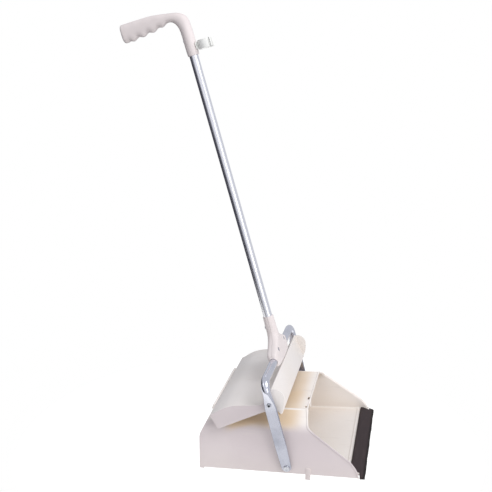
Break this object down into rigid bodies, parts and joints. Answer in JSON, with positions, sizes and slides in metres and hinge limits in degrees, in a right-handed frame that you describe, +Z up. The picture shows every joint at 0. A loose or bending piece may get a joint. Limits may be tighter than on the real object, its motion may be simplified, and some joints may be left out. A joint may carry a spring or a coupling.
{
  "type": "lidded lobby dustpan",
  "caption": "Long-handled lobby dustpan with a hinged lid, a U-shaped swing frame, an angled grip and a clip for a broom.",
  "frame": {"origin": "on the floor, under the middle of the outline seen from above", "axes": "+Z up, +X towards the mouth and the lip, Y across between the two pivots"},
  "size_m": [0.465, 0.311, 0.7961],
  "materials": {
    "pan_ivory": "moulded polypropylene, fine texture",
    "lid_ivory": "moulded polypropylene, slightly smoother",
    "grip_ivory": "moulded plastic, satin",
    "clip_ivory": "springy moulded plastic, satin",
    "lip_rubber": "soft dark brown strip, dull",
    "frame_chrome": "bright plated steel tube",
    "pipe_aluminium": "satin drawn tube",
    "fixings_zinc": "zinc plated"
  },
  "bodies": {
    "pan": {"pan_body": "pan_ivory", "lip_strip": "lip_rubber", "pivot_rivet_near": "fixings_zinc", "pivot_rivet_far": "fixings_zinc", "pivot_spacer_near": "fixings_zinc", "pivot_spacer_far": "fixings_zinc", "backing_washer_near": "fixings_zinc", "backing_washer_far": "fixings_zinc"},
    "frame": {"frame_bar": "frame_chrome", "bracket_front": "grip_ivory", "bracket_rear": "grip_ivory", "bracket_screw_near": "fixings_zinc", "bracket_screw_far": "fixings_zinc", "socket_screw": "fixings_zinc", "handle_pipe": "pipe_aluminium", "grip": "grip_ivory", "grip_screw": "fixings_zinc", "broom_clip": "clip_ivory"},
    "lid": {"lid": "lid_ivory", "lid_pin_near": "fixings_zinc", "lid_pin_far": "fixings_zinc"}
  },
  "joints": [
    {"name": "frame_swing", "type": "hinge", "parent": "pan", "child": "frame", "pos_m": [0.09577, 0, 0.02091], "axis": [0, 1, 0], "range_deg": [0, 82]},
    {"name": "lid_tilt", "type": "hinge", "parent": "frame", "child": "lid", "pos_m": [0.06536, 0, 0.14077], "axis": [0, 1, 0], "range_deg": [-37, 0]}
  ],
  "couplings": [
    {"joint": "lid_tilt", "follows": "frame_swing", "ratio": -0.45}
  ]
}
